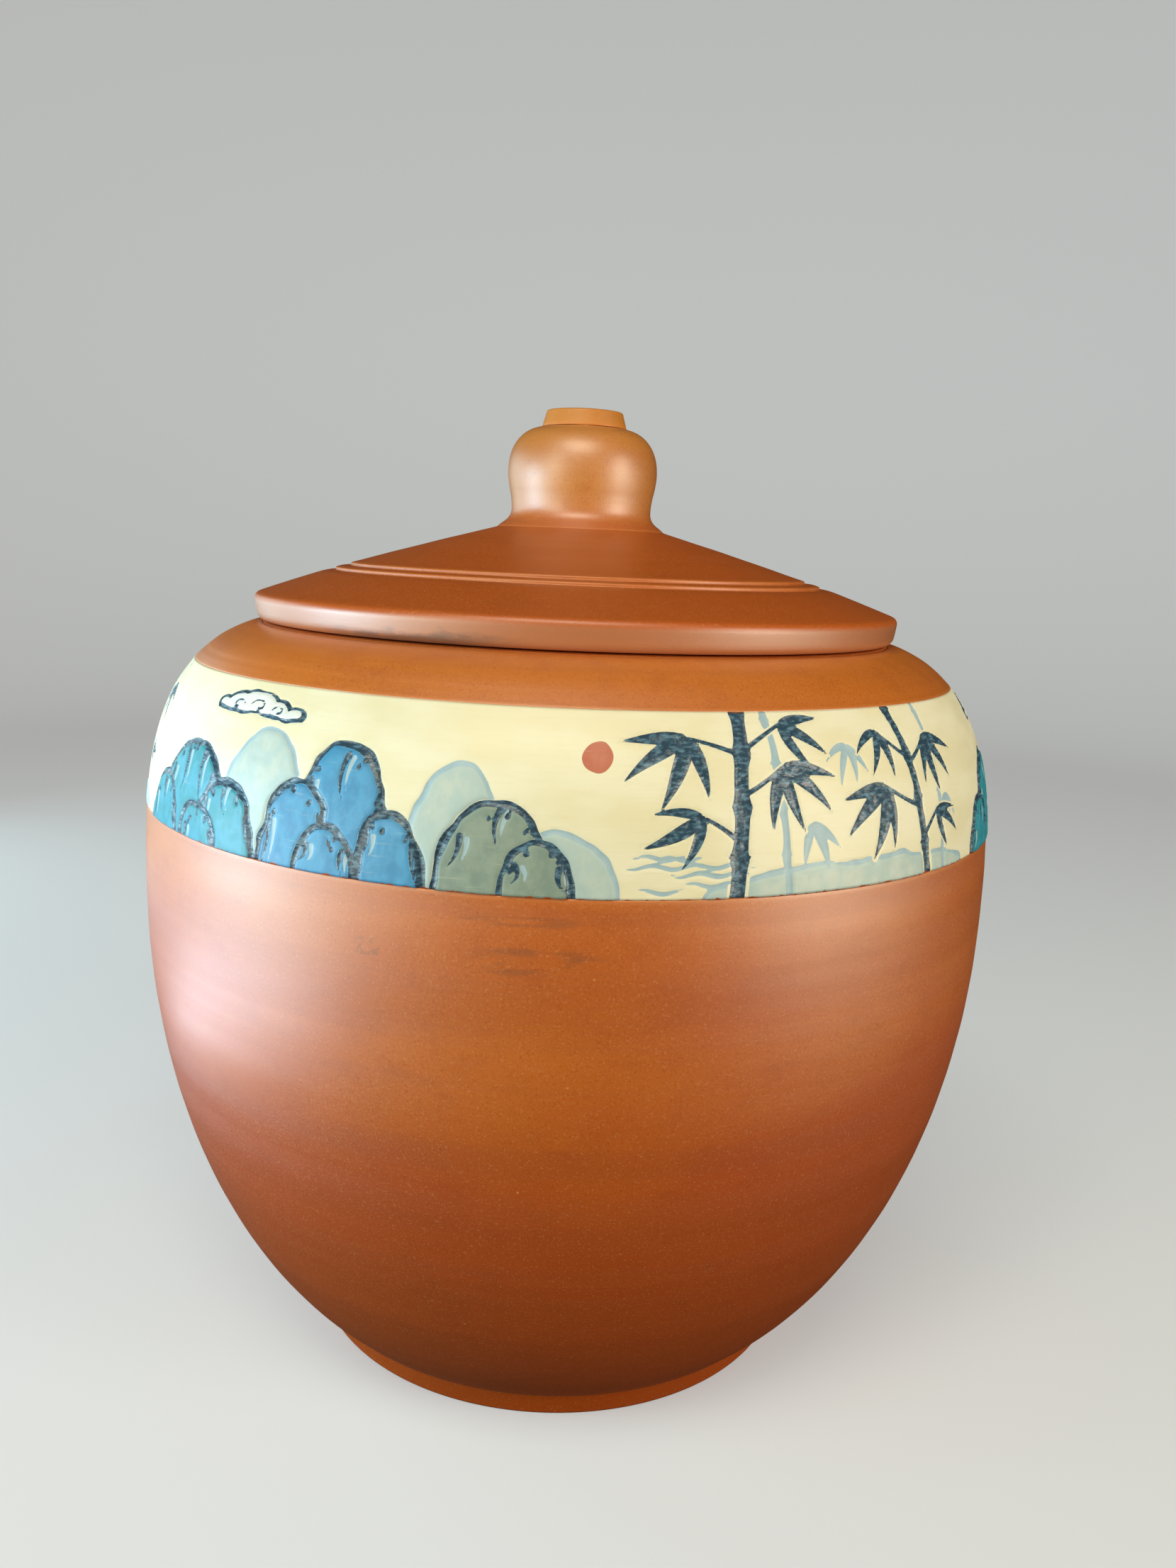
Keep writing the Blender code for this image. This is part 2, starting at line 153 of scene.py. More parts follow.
# Lobes of a cloud are (aside, radius), and its curls (aside, turn, size)
LOBES = ((-0.78, 0.55), (-0.44, 0.95), (-0.02, 1.25), (0.40, 0.90), (0.78, 0.60))
CURLS = ((-0.46, 1.0, 1.0), (0.02, -1.0, 1.25), (0.46, -1.0, 0.9))

SUN_RADIUS, SUN_ASIDE, SUN_RISE = 4.4, 6.0, 0.73
RIPPLES = 8
WATER_FROM, WATER_TO = 8.0, 50.0

# Bamboo, in millimetres from the right edge of the hills. Stems are (foot, lean, half width).
DARK_STEMS = ((43.0, 0.08, 2.6), (112.0, -0.12, 1.9))
PALE_STEMS = ((58.0, -0.05, 1.3), (121.0, 0.03, 1.1))
LOWEST_JOINT = -4.0
JOINT_SPACING = (12.0, 15.0)
JOINT_GAP = 0.85
TWIG_WIDTHS = (0.75, 0.50)
LEAF_TIP = 0.15
LEAF_SPREAD = 31.0

# Twigs are (start, tip, facing angle of the leaves, how many, length), and fans (middle, then the same)
DARK_TWIGS = (
    ((46.0, 38.0), (31.0, 43.0), -126.0, 4, 22.0),
    ((45.2, 27.0), (58.0, 34.5), -56.0, 4, 21.0),
    ((46.2, 39.0), (60.0, 47.0), -28.0, 3, 17.0),
    ((44.2, 14.5), (34.0, 21.5), -150.0, 3, 17.0),
    ((108.0, 33.0), (120.0, 40.5), -66.0, 4, 19.0),
    ((109.6, 20.0), (95.0, 27.0), -128.0, 4, 21.0),
    ((107.8, 34.5), (96.0, 43.5), -112.0, 3, 15.0),
    ((110.6, 11.0), (119.0, 18.0), -36.0, 3, 14.0),
)
PALE_FANS = (
    ((66.0, 19.0), -70.0, 3, 14.0),
    ((82.0, 40.0), -100.0, 4, 13.0),
    ((125.0, 22.0), -80.0, 3, 12.0),
)
BANK_MIDDLE, BANK_HALF_WIDTH, BANK_HEIGHT = 84.0, 50.0, 7.5

# Linear colours
CLAY = (0.470, 0.080, 0.0040)
# Wall tones: the gold is painted light high up, the red painted shade low down
CLAY_LIT_GOLD = (0.600, 0.168, 0.0085)
CLAY_SHADED_RED = (0.455, 0.075, 0.0034)
CLAY_PALE = (0.660, 0.300, 0.110)
# Lighter edges: partly wear, partly painted highlight
WORN_LIT_CLAY = (0.620, 0.200, 0.040)
# Dark specks in the clay, and the dark band along the bottom of the lid's rim
CLAY_DARK = (0.070, 0.038, 0.026)
CLAY_SMUDGE = (0.150, 0.055, 0.018)
# The knob's gold, partly its own clay and partly painted light
KNOB_LIT_CLAY = (0.580, 0.215, 0.0300)
LID_CLAY = (0.475, 0.096, 0.0045)
# Painted sheen on the lid's rim
RIM_SHEEN_COLOUR = (0.475, 0.185, 0.0750)
CREAM = (0.780, 0.735, 0.510)
CREAM_LIGHT = (0.815, 0.790, 0.600)
CREAM_DARK = (0.690, 0.620, 0.380)
INK = (0.026, 0.060, 0.100)
# Painted glint on the chisel facets of the strokes
INK_GLINT = (0.115, 0.225, 0.320)
INK_SMUDGE = (0.270, 0.345, 0.290)
FLOOR_SEEN = (0.440, 0.480, 0.520)
FLOOR_GLOW = (0.335, 0.335, 0.330)
FLOOR_BOUNCE = (0.020, 0.017, 0.013)
STREAK_SHADE = 0.72

# Paints on the slip, thin and deep, from the lowest layer up. The ink is cut through them all.
PAINTS = {
    "far": ((0.520, 0.610, 0.560), (0.400, 0.540, 0.540)),
    "turquoise": ((0.045, 0.320, 0.460), (0.010, 0.235, 0.275)),
    "blue": ((0.070, 0.320, 0.570), (0.035, 0.215, 0.430)),
    "grey_green": ((0.270, 0.345, 0.290), (0.190, 0.270, 0.235)),
    "cloud": ((0.830, 0.840, 0.800), (0.700, 0.760, 0.760)),
    "red": ((0.560, 0.210, 0.130), (0.470, 0.120, 0.065)),
    "pale": ((0.480, 0.620, 0.680), (0.300, 0.450, 0.530)),
}

# Specks in the clay: how far apart, radius as a share of that, strength and colour
SPECKS = ((12.5 * MM, 0.034, 0.65, CLAY_PALE), (9.0 * MM, 0.040, 0.45, CLAY_DARK))

# Sockets of a Mix node that mixes colours
MIX_FIRST, MIX_SECOND, MIX_RESULT = 6, 7, 2

# Studio floor, which curves up through a cove into a wall
FLOOR_SEGMENTS = 96
FLOOR_RINGS = (0.35, 0.70, 1.05, 1.40)
FLOOR_RADIUS = 1.5
COVE_RADIUS = 0.6
COVE_STEPS = 12
WALL_TOP = 2.6

# Softboxes: name, azimuth, elevation, distance, size, power in watts, colour
SOFTBOXES = (
    ("left_window", -118.0, 8.0, 0.90, (0.60, 0.45), 1.9, (0.66, 0.92, 0.96)),
    ("left_low", -80.0, 0.0, 1.00, (0.50, 0.30), 6.3, (0.50, 0.80, 1.0)),
    ("left_lowest", -64.0, -3.5, 1.10, (1.00, 0.20), 3.2, (1.0, 0.98, 0.68)),
    ("left_front", -42.0, 15.0, 1.45, (0.50, 0.80), 5.8, (1.0, 0.98, 0.80)),
    ("right_front", 60.0, 10.0, 1.45, (0.40, 0.80), 10.6, (1.0, 0.90, 0.74)),
    ("right_lowest", 64.0, -3.5, 1.10, (1.00, 0.20), 2.4, (1.0, 0.96, 0.70)),
    ("front_key", -10.0, 52.0, 1.60, (1.00, 0.60), 14.8, (1.0, 0.92, 0.72)),
)
LIGHT_AIM = Vector((0.0, 0.0, 0.17))

# Glowing cards on the floor: name, middle, size, power in watts, colour
FLOOR_CARDS = (
    ("left_card", (-0.42, -0.12), (0.16, 0.40), 1.5, (0.74, 0.84, 1.0)),
    ("left_card_behind", (-0.62, 0.30), (0.36, 0.50), 0.7, (0.80, 0.88, 1.0)),
    ("back_card", (0.0, 0.95), (0.90, 0.40), 3.0, (1.0, 1.0, 1.0)),
)
CARD_HEIGHT = 0.01
AIR_COLOUR = (0.90, 0.95, 1.0, 1.0)
AIR_STRENGTH = 0.04

# Camera, at the height and slant of the photograph, with its pitch, yaw and roll in radians
CAMERA_PLACE = (0.0, -0.4640, 0.2844)
CAMERA_TURN = (0.185179, 0.014561, 0.043433)
CAMERA_LENS = 29.017
CAMERA_SENSOR = 36.0


def azimuth_point(azimuth, radius, height):
    turned_by = math.radians(azimuth)
    return Vector((radius * math.sin(turned_by), -radius * math.cos(turned_by), height))


def ease(value, low=0.0, high=1.0):
    """Smooth step from 0 at low to 1 at high."""
    share = np.clip((value - low) / (high - low), 0.0, 1.0)
    return share * share * (3.0 - 2.0 * share)


def smooth_noise(across, up, size, seed, length):
    """Values from -1 to 1 that vary smoothly over a size. Across wraps after a length."""
    rows = 97
    columns = max(1, round(length / size))
    table = np.random.default_rng(seed).uniform(-1.0, 1.0, (columns, rows))
    u, v = across * columns / length, up / size
    column, row = np.floor(u).astype(int), np.floor(v).astype(int)
    s, t = ease(u - column), ease(v - row)

    def corner(right, above):
        return table[(column + right) % columns, (row + above) % rows]

    low = corner(0, 0) * (1.0 - s) + corner(1, 0) * s
    high = corner(0, 1) * (1.0 - s) + corner(1, 1) * s
    return low * (1.0 - t) + high * t


# Outlines of the turned pieces, read from the frame


def lengths(vectors):
    return np.linalg.norm(vectors, axis=1)


def travel(points):
    """How far each point lies along the line through them all."""
    return np.concatenate(([0.0], np.cumsum(lengths(np.diff(points, axis=0)))))


def outward(directions):
    """Unit normals of directions along an outline, which has its outside on the right."""
    unit = directions / np.maximum(lengths(directions), NEAR)[:, None]
    return np.stack((unit[:, 1], -unit[:, 0]), axis=1)


def outline(node):
    """(radius, height) points of a turned node where it crosses the front half plane, anticlockwise.

    Also says whether the outline is closed. One that isn't starts and ends on the axis.
    """
    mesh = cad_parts[node].data
    places = {
        vertex.index: (round(-vertex.co.y, 6), round(vertex.co.z, 6))
        for vertex in mesh.vertices
        if abs(vertex.co.x) < NEAR and vertex.co.y < NEAR
    }
    beside = {}
    for edge in mesh.edges:
        first, second = (places.get(index) for index in edge.vertices)
        if first and second and first != second:
            beside.setdefault(first, set()).add(second)
            beside.setdefault(second, set()).add(first)
    ends = [place for place, others in beside.items() if len(others) == 1]
    place = max(ends, key=lambda end: end[HEIGHT]) if ends else min(beside)
    walked = [place]
    while True:
        onward = [other for other in sorted(beside[place]) if other not in walked]
        if not onward:
            break
        place = onward[0]
        walked.append(place)
    points = np.array(walked)
    following = np.roll(points, -1, axis=0)
    area = np.sum(points[:, 0] * following[:, 1] - following[:, 0] * points[:, 1])
    return (points if area > 0.0 else points[::-1]), not ends


def swelled(points, closed):
    """Moves the points of gentle turns out, so that a curve that rounds them off keeps its size.

    Returns the points and which of them are gentle.
    """
    into = points - np.roll(points, 1, axis=0)
    out = np.roll(points, -1, axis=0) - points
    length_in, length_out = lengths(into), lengths(out)
    turn = np.arctan2(into[:, 0] * out[:, 1] - into[:, 1] * out[:, 0], np.sum(into * out, axis=1))
    gentle = np.abs(turn) < CORNER_TURN
    if not closed:
        gentle[[0, -1]] = False
    swell = np.where(gentle, np.minimum(length_in, length_out) / 2.0 * np.tan(turn / 4.0), 0.0)
    along = into / length_in[:, None] + out / length_out[:, None]
    moved = points + outward(along) * swell[:, None]
    return np.clip(moved, points.min(axis=0), points.max(axis=0)), gentle


def rounded(points, gentle, closed, corner_round):
    """Points along an outline with every turn rounded off, and which of them lie on a sharp corner."""
    into = points - np.roll(points, 1, axis=0)
    out = np.roll(points, -1, axis=0) - points
    length_in, length_out = lengths(into), lengths(out)
    shorter = np.minimum(length_in, length_out)

    def reach(length):
        """How far from each point its rounding reaches."""
        gentle_reach = np.minimum(length, 2.0 * shorter) / 2.0
        reaches = np.where(gentle, gentle_reach, np.minimum(corner_round, 0.4 * length))
        if not closed:
            reaches[[0, -1]] = 0.0
        return reaches

    reach_in, reach_out = reach(length_in), reach(length_out)
    starts = points - into / length_in[:, None] * reach_in[:, None]
    ends = points + out / length_out[:, None] * reach_out[:, None]
    curve, sharp = [], []
    for index, point in enumerate(points):
        start, end = starts[index], ends[index]
        lean = (out[index][HEIGHT] - out[index][RADIUS]) / length_out[index]
        step = FINE_ROW if lean > UNSEEN_LEAN else COARSE_ROW
        steps = math.ceil((reach_in[index] + reach_out[index]) / step)
        steps = max(2 if gentle[index] else CORNER_STEPS, steps) if reach_in[index] else 0
        for t in np.linspace(0.0, 1.0, steps + 1):
            curve.append((1 - t) ** 2 * start + 2 * t * (1 - t) * point + t * t * end)
            sharp.append(not gentle[index])
        if index == len(points) - 1 and not closed:
            break
        run = starts[(index + 1) % len(points)] - end
        for t in np.linspace(0.0, 1.0, int(np.linalg.norm(run) / step) + 2)[1:-1]:
            curve.append(end + run * t)
            sharp.append(False)
    return np.array(curve), np.array(sharp)


def soften(points, closed, corner_round):
    """Smooths an outline. Returns its points, their outward normals and each one's distance to a corner."""
    curve, sharp = rounded(*swelled(points, closed), closed, corner_round)
    fresh = np.ones(len(curve), bool)
    fresh[1:] = lengths(np.diff(curve, axis=0)) > 10 * NEAR
    if closed and np.linalg.norm(curve[0] - curve[-1]) < 10 * NEAR:
        fresh[-1] = False
    curve, sharp = curve[fresh], sharp[fresh]

    travelled = travel(curve)
    corners = travelled[sharp] if sharp.any() else np.array([-1.0])
    distance = np.min(np.abs(travelled[:, None] - corners[None, :]), axis=1)
    if closed:
        directions = np.roll(curve, -1, axis=0) - np.roll(curve, 1, axis=0)
    else:
        directions = np.gradient(curve, axis=0)
    return curve, outward(directions), distance


# Meshes


def add_object(name, data):
    made = bpy.data.objects.new(name, data)
    bpy.context.scene.collection.objects.link(made)
    return made


def mesh_object(name, vertices, faces):
    mesh = bpy.data.meshes.new(name)
    mesh.from_pydata(np.reshape(vertices, (-1, 3)).tolist(), [], faces)
    mesh.shade_smooth()
    mesh.update()
    return add_object(name, mesh)


def add_value(made, name, values):
    attribute = made.data.attributes.new(name, "FLOAT", "POINT")
    attribute.data.foreach_set("value", np.asarray(values, np.float32).ravel())


def quads(columns, rows, wrap_rows):
    """Faces of a grid whose points run row by row within each column, closed round the columns."""
    stretches = rows if wrap_rows else rows - 1
    column, row = np.meshgrid(np.arange(columns), np.arange(stretches), indexing="ij")
    onward, above = (column + 1) % columns, (row + 1) % rows
    corners = (column * rows + row, onward * rows + row, onward * rows + above, column * rows + above)
    return np.stack(corners, axis=-1).reshape(-1, 4).tolist()


def pole_faces(columns, rows):
    """Triangles that close both ends of an open grid, on two points on the axis that follow its own."""
    first_pole, last_pole = columns * rows, columns * rows + 1
    faces = []
    for column in range(columns):
        here, onward = column * rows, (column + 1) % columns * rows
        faces.append((first_pole, onward, here))
        faces.append((last_pole, here + rows - 1, onward + rows - 1))
    return faces


def turning_marks(travelled, azimuths):
    """Height of the waves that the potter's tool leaves, along the outline and round the jar."""
    height = np.zeros((len(azimuths), len(travelled)))
    for length, wave, sway in TURNING_WAVES:
        swing = 0.5 * np.sin(azimuths + sway) + 0.3 * np.sin(2.0 * azimuths + 3.0 * sway)
        phase = math.tau * travelled[None, :] / length + sway + swing[:, None]
        height += wave * np.sin(phase) * (0.65 + 0.35 * np.sin(azimuths * 3.0 + length / MM)[:, None])
    return height


def skin(curve, normal, azimuths, lift):
    """Points of an outline, turned round the Z axis and lifted along its normals."""
    radius = np.maximum(curve[None, :, RADIUS] + normal[None, :, RADIUS] * lift, 0.0)
    height = curve[None, :, HEIGHT] + normal[None, :, HEIGHT] * lift
    sine, cosine = np.sin(azimuths)[:, None], np.cos(azimuths)[:, None]
    return np.stack((radius * sine, -radius * cosine, height), axis=-1)


def turned(name, points, closed, segments=SEGMENTS, corner_round=CORNER_ROUND, extra=None):
    """Turns an outline round the Z axis, with tool marks on the sides that show."""
    curve, normal, distance = soften(points, closed, corner_round)
    azimuths = np.arange(segments) * math.tau / segments
    seen = (normal[:, RADIUS] + normal[:, HEIGHT] > UNSEEN_LEAN) & (curve[:, RADIUS] > NEAR)
    calm = ease(distance / TURNING_FADE) * seen
    lift = (turning_marks(travel(curve), azimuths) - TURNING_DEPTH) * calm[None, :]
    if extra is not None:
        lift = lift + extra(curve, azimuths)
    vertices = skin(curve, normal, azimuths, lift)
    # Lighter edges, partly wear and partly a painted highlight
    worn_and_lit = np.broadcast_to(np.exp(-distance / WORN_LIT_EDGE_WIDTH) * seen, vertices.shape[:2])
    rows = len(curve)
    if closed:
        made = mesh_object(name, vertices, quads(segments, rows, True))
        add_value(made, "worn_and_lit_edges", worn_and_lit)
        return made
    sides, poles = vertices[:, 1:-1].reshape(-1, 3), vertices[0, [0, -1]]
    faces = quads(segments, rows - 2, False) + pole_faces(segments, rows - 2)
    made = mesh_object(name, np.concatenate((sides, poles)), faces)
    add_value(made, "worn_and_lit_edges", np.concatenate((worn_and_lit[:, 1:-1].ravel(), worn_and_lit[0, [0, -1]])))
    return made


# The band: its face, and what is drawn on it


def band_face():
    """(radius, height) points up the face of the band, from one edge of its seat to the other."""
    points, _ = outline("cream_band")
    points = np.roll(points, -np.argmin(points[:, HEIGHT]) - 1, axis=0)
    face = points[: np.argmax(points[:, HEIGHT]) + 1]
    body, _ = outline("jar_body")
    edges = [body[np.argmin(lengths(body - end))] for end in (face[0], face[-1])]
    return np.array([edges[0], *face[1:-1], edges[1]])


class Drawing:
    """Signed distances in millimetres from the points of the band's grid to the edges of each layer.

    Across runs round the jar from a plain place beside the first group of hills, and up runs up the
    face. A distance is positive inside what is drawn.
    """

    def __init__(self, columns, rows, length, height):
        self.length, self.height = length, height
        self.column_step, self.row_step = length / columns, height / rows
        across = np.arange(columns) * self.column_step
        up = np.arange(rows + 1) * self.row_step
        self.across, self.up = np.meshgrid(across, up, indexing="ij")
        self.loose_across = self.across + self.noise(9.0, 11) * 0.9 + self.noise(3.5, 13) * 0.35
        self.loose_up = self.up + self.noise(7.0, 12) * 0.8 + self.noise(3.0, 14) * 0.30
        self.layers = {name: self.blank() for name in (*PAINTS, "ink")}

    def blank(self):
        return np.full(self.across.shape, -FARTHEST)

    def noise(self, size, seed):
        return smooth_noise(self.across, self.up, size, seed, self.length)

    def merge(self, layer, distance, clip=None):
        """Adds a shape to a layer, where the clip is positive."""
        if clip is not None:
            distance = np.minimum(distance, clip)
        self.layers[layer] = np.maximum(self.layers[layer], distance)

    def as_distance(self, shape):
        """Turns a smooth function that is 0 on an edge into a distance from that edge."""
        slope = np.hypot(*np.gradient(shape, self.column_step, self.row_step))
        return np.clip(shape / np.maximum(slope, 0.001), -FARTHEST, FARTHEST)

    def hill(self, centre, half_width, top, lean):
        """Distance from the edge of a rounded hill that stands on the band's lower edge."""
        rise = np.maximum(self.loose_up, 0.0) / top
        aside = np.abs(self.loose_across - centre - lean * half_width * rise) / half_width
        return self.as_distance(1.0 - aside ** HILL_EXPONENT - rise ** HILL_EXPONENT)

    def contour(self, layer, distance, half_width, vary, seed, clip=None):
        """Draws a line of uneven width along the edge of a shape."""
        breadth = half_width + vary * self.noise(6.5, seed)
        self.merge(layer, breadth - np.abs(distance), clip)

    def stroke(self, field, points, widths):
        """Draws a line through points, with a half width at each, into a field of distances."""
        for first, second, start_width, end_width in zip(points, points[1:], widths, widths[1:]):
            reach = max(start_width, end_width) + 2.5
            low = int(max(0, (min(first[0], second[0]) - reach) // self.column_step))
            high = int((max(first[0], second[0]) + reach) // self.column_step) + 2
            window = slice(low, high)
            run = (second[0] - first[0], second[1] - first[1])
            squared = max(run[0] ** 2 + run[1] ** 2, 0.0001)
            beside = (self.across[window] - first[0], self.up[window] - first[1])
            share = np.clip((beside[0] * run[0] + beside[1] * run[1]) / squared, 0.0, 1.0)
            away = np.hypot(beside[0] - share * run[0], beside[1] - share * run[1])
            breadth = start_width + share * (end_width - start_width)
            field[window] = np.maximum(field[window], breadth - away)


def curved(start, end, bow, steps=10):
    """Points from start to end along a shallow bow, which is the height of the bow at its middle."""
    run = np.array(end) - np.array(start)
    side = np.array((-run[1], run[0])) / max(np.hypot(*run), 0.001)
    shares = np.linspace(0.0, 1.0, steps + 1)
    return [tuple(np.array(start) + run * t + side * bow * 4.0 * t * (1.0 - t)) for t in shares]


def heading(start, angle, length):
    turned_by = math.radians(angle)
    return (start[0] + length * math.cos(turned_by), start[1] + length * math.sin(turned_by))


def leaf(drawing, field, start, angle, length, half_width, bow):
    points = curved(start, heading(start, angle, length), bow)
    shares = np.linspace(0.0, 1.0, len(points))
    swell = np.sin(np.pi * shares ** 0.62) * (1.0 - 0.15 * shares)
    drawing.stroke(field, points, LEAF_TIP + (half_width - LEAF_TIP) * swell)


def leaf_fan(drawing, field, start, facing, count, size, draws):
    """Leaves of one twig, spread round the facing angle, with the longest in the middle."""
    for index in range(count):
        aside = index - (count - 1) / 2.0
        angle = facing + aside * LEAF_SPREAD + draws.uniform(-6.0, 6.0)
        length = size * (1.0 - 0.10 * abs(aside)) * draws.uniform(0.90, 1.08)
        breadth = length * draws.uniform(0.098, 0.122)
        bow = draws.uniform(0.4, 1.3) * np.sign(aside + 0.1)
        leaf(drawing, field, start, angle, length, breadth, bow)


def stem(drawing, field, foot, lean, half_width, draws):
    """A leaning bamboo stem, waisted between the joints, with a rim over each joint."""
    joint = LOWEST_JOINT
    while joint < drawing.height:
        onward = joint + draws.uniform(*JOINT_SPACING)
        start = (foot + lean * joint, joint + JOINT_GAP)
        end = (foot + lean * onward, onward - JOINT_GAP)
        run = curved(start, end, draws.uniform(-0.4, 0.4), 8)
        shares = np.linspace(-1.0, 1.0, len(run))
        drawing.stroke(field, run, half_width * (0.80 + 0.24 * shares ** 4))
        left = (end[0] - half_width * 1.05, onward + 0.35)
        right = (end[0] + half_width * 1.05, onward + 0.35)
        drawing.stroke(field, curved(left, right, -0.55, 4), [0.45] * 5)
        joint = onward


def bamboo(drawing, left, draws):
    """Two dark stems of bamboo with hanging leaves, and two slighter, paler ones behind them."""
    pale = drawing.blank()
    for foot, lean, half_width in PALE_STEMS:
        stem(drawing, pale, left + foot, lean, half_width, draws)
    for (across, up), facing, count, size in PALE_FANS:
        leaf_fan(drawing, pale, (left + across, up), facing, count, size, draws)
    dark = drawing.blank()
    for foot, lean, half_width in DARK_STEMS:
        stem(drawing, dark, left + foot, lean, half_width, draws)
    for start, tip, facing, count, size in DARK_TWIGS:
        start, tip = (left + start[0], start[1]), (left + tip[0], tip[1])
        twig = curved(start, tip, draws.uniform(-0.8, 0.8), 8)
        drawing.stroke(dark, twig, np.linspace(*TWIG_WIDTHS, len(twig)))
        leaf_fan(drawing, dark, tip, facing, count, size, draws)
    drawing.merge("ink", dark)
    drawing.merge("pale", pale, -dark - HILL_MARGIN)
    bank = drawing.hill(left + BANK_MIDDLE, BANK_HALF_WIDTH, BANK_HEIGHT, 0.0)
    drawing.merge("far", bank, -dark - FAR_MARGIN)
    drawing.contour("pale", bank, 0.60, 0.25, 47, -dark - FAR_MARGIN)


def crest_of(hill, place, spread=1.0):
    """Point on the crest of a hill, at a place from -1 to 1 across it."""
    centre, half_width, top, lean = hill
    crest = top * (1.0 - abs(place) ** HILL_EXPONENT) ** (1.0 / HILL_EXPONENT)
    return centre + half_width * (spread * place + lean * crest / top), crest


def folds(drawing, hill, clip, draws):
    """Strokes that run down from the crest of a hill, dark ones with a pale one beside each."""
    _, half_width, top, _ = hill
    dark, pale = drawing.blank(), drawing.blank()
    for place in np.linspace(-0.72, 0.72, max(2, round(half_width / FOLD_SPACING))):
        place += draws.uniform(-0.10, 0.10)
        across, crest = crest_of(hill, place, 0.93)
        start = (across, crest - draws.uniform(0.8, 4.0))
        down = top * draws.uniform(0.30, 0.68)
        end = (across + half_width * 0.30 * place + draws.uniform(-1.2, 1.2), start[1] - down)
        points = curved(start, end, draws.uniform(0.5, 1.5) * (1.0 if place < 0.0 else -1.0))
        drawing.stroke(dark, points, np.linspace(draws.uniform(0.70, 1.05), 0.15, len(points)))
        beside = [(x + 2.0, y - 0.6) for x, y in points[:8]]
        drawing.stroke(pale, beside, np.linspace(0.75, 0.20, len(beside)))
    drawing.merge("ink", dark, clip)
    drawing.merge("pale", pale, np.minimum(clip, -dark - 0.3))


def moss_dots(drawing, hill, clip, draws):
    """Short dabs of the brush along the crest of a hill."""
    dark = drawing.blank()
    for _ in range(round(hill[1] / DOT_SPACING)):
        across, crest = crest_of(hill, draws.uniform(-0.8, 0.8))
        start = (across, crest - draws.uniform(1.2, 5.0))
        end = heading(start, draws.uniform(60.0, 120.0), draws.uniform(0.6, 1.3))
        drawing.stroke(dark, [start, end], [draws.uniform(0.60, 0.90), 0.40])
    drawing.merge("ink", dark, clip)


def cloud(drawing, centre, half_width, middle, half_height):
    """A long cloud of lobes over a flat foot, with an outline and curls."""
    foot = middle - 0.7 * half_height
    distance = drawing.blank()
    for place, share in LOBES:
        radius = half_height * share
        across = (drawing.loose_across - centre - place * half_width) / 1.7
        up = drawing.loose_up - foot - 0.45 * radius
        distance = np.maximum(distance, radius - np.hypot(across, up))
    distance = np.minimum(distance, drawing.loose_up - foot)
    drawing.merge("cloud", distance)
    drawing.contour("ink", distance, 0.52, 0.20, 31)
    curls = drawing.blank()
    for place, turn, size in CURLS:
        curl = []
        for step in range(12):
            angle = math.radians(24.0 * step)
            reach = size * (2.3 - 0.15 * step)
            across = centre + place * half_width + turn * reach * 1.4 * math.cos(angle)
            curl.append((across, foot + size * 2.0 + reach * math.sin(angle) * 0.9))
        drawing.stroke(curls, curl, np.linspace(0.25, 0.45, len(curl)))
    drawing.merge("ink", curls, distance)


def ripples(drawing, left, right, draws):
    """Lines of still water between the hills and the bamboo."""
    water = drawing.blank()
    for _ in range(RIPPLES):
        start = draws.uniform(left, right - 14.0)
        length = draws.uniform(9.0, 22.0)
        level = draws.uniform(1.8, 11.0)
        shares = np.linspace(0.0, 1.0, 15)
        wave = level + 0.55 * np.sin(shares * length / 1.7 + start)
        points = list(zip(start + shares * length, wave))
        drawing.stroke(water, points, 0.20 + 0.42 * np.sin(np.pi * shares))
    drawing.merge("pale", water)


def hill_group(drawing, name, place, near, draws):
    """A hill made of overlapping crests, front ones first. Returns the part that hides what is behind."""
    centre, half_width, top = place
    for aside, breadth, rise, lean in CRESTS[name]:
        hill = (centre + aside * half_width, half_width * breadth, top * rise, lean)
        distance = drawing.hill(*hill)
        shown = -near - HILL_MARGIN
        drawing.merge(name, distance)
        drawing.contour("ink", distance, 1.0, 0.45, HILL_SEEDS[name], shown)
        folds(drawing, hill, np.minimum(distance - 0.4, shown), draws)
        moss_dots(drawing, hill, shown, draws)
        near = np.maximum(near, distance)
    return near


def node_points(node):
    """A node's points, and their azimuths."""
    points = np.array([vertex.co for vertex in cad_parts[node].data.vertices])
    return points, np.degrees(np.arctan2(points[:, 0], -points[:, 1]))


def place_of(node, drawing, start_azimuth, face):
    """Centre, half width, lowest and highest place in the drawing of a fill in the frame."""
    points, azimuths = node_points(node)
    azimuths = (azimuths - start_azimuth) % 360.0
    left, right = azimuths.min(), azimuths.max()
    low, high = np.interp((points[:, 2].min(), points[:, 2].max()), face[:, HEIGHT], travel(face) / MM)
    per_degree = drawing.length / 360.0
    return (right + left) / 2.0 * per_degree, (right - left) / 2.0 * per_degree, low, high


